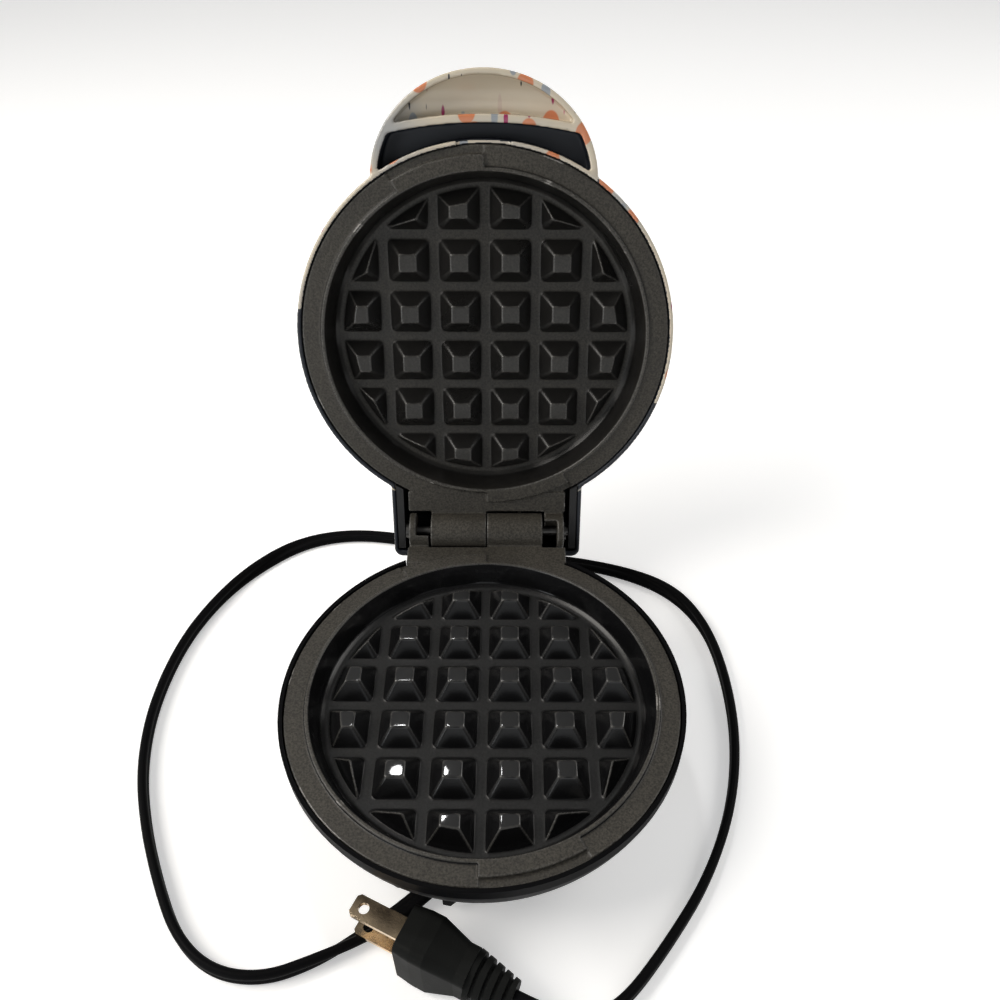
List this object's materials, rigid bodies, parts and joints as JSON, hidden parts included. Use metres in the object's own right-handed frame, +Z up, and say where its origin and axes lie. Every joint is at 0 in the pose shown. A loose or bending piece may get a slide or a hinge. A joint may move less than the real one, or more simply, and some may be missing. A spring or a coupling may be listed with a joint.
{
  "type": "mini waffle maker",
  "caption": "Small clamshell waffle maker: round non-stick grid plates, a hinged domed lid with a half-moon handle, and a short mains lead with its plug.",
  "frame": {"origin": "centre of the appliance's outline, without its lead and plug, on the table", "axes": "+Z up, +Y from the front towards the hinge, +X to the right of a user at the front"},
  "size_m": [0.204, 0.22, 0.1799],
  "materials": {
    "plate_coating": "matt non-stick coating on a casting",
    "black_housing": "satin black moulding",
    "black_cover": "matt black moulding",
    "foot_rubber": "matt rubber",
    "screw_steel": "zinc-plated",
    "element_steel": "dull, heat-tinted",
    "clip_steel": "plain",
    "shield_aluminium": "bright sheet",
    "ceramic": "unglazed ceramic",
    "fuse_sleeve": "glass-fibre sleeve",
    "wire_insulation": "silicone",
    "pin_steel": "turned",
    "lead_black": "satin flexible PVC",
    "plug_black": "satin flexible PVC",
    "blade_brass": "worn nickel over brass",
    "cream_shell": "gloss moulding with a printed pattern",
    "inner_frame": "matt heat-resistant moulding",
    "red_lens": "clear red",
    "lamp_glass": "neon lamp"
  },
  "bodies": {
    "base": {"base_plate": "plate_coating", "base_housing": "black_housing", "bottom_cover": "black_cover", "rubber_feet": "foot_rubber", "tie_screws": "screw_steel", "base_heating_element": "element_steel", "base_element_clips": "clip_steel", "base_heat_shield": "shield_aluminium", "thermostat": "ceramic", "thermal_fuse": "fuse_sleeve", "terminal_block": "ceramic", "base_wiring": "wire_insulation", "hinge_pin": "pin_steel", "pin_clip": "pin_steel", "cord_gland": "lead_black", "power_cord": "lead_black", "plug_body": "plug_black", "plug_strain_relief": "lead_black", "plug_blades": "blade_brass"},
    "lid": {"lid_plate": "plate_coating", "lid_shell": "cream_shell", "lid_inner_frame": "inner_frame", "lid_heating_element": "element_steel", "lid_element_clips": "clip_steel", "lid_heat_shield": "shield_aluminium", "lid_frame_screws": "screw_steel", "indicator_lens": "red_lens", "indicator_lamp": "lamp_glass", "lid_wiring": "wire_insulation"}
  },
  "joints": [
    {"name": "lid_hinge", "type": "hinge", "parent": "base", "child": "lid", "pos_m": [0, 0.03316, 0.037], "axis": [1, 0, 0], "range_deg": [0, 109]}
  ]
}
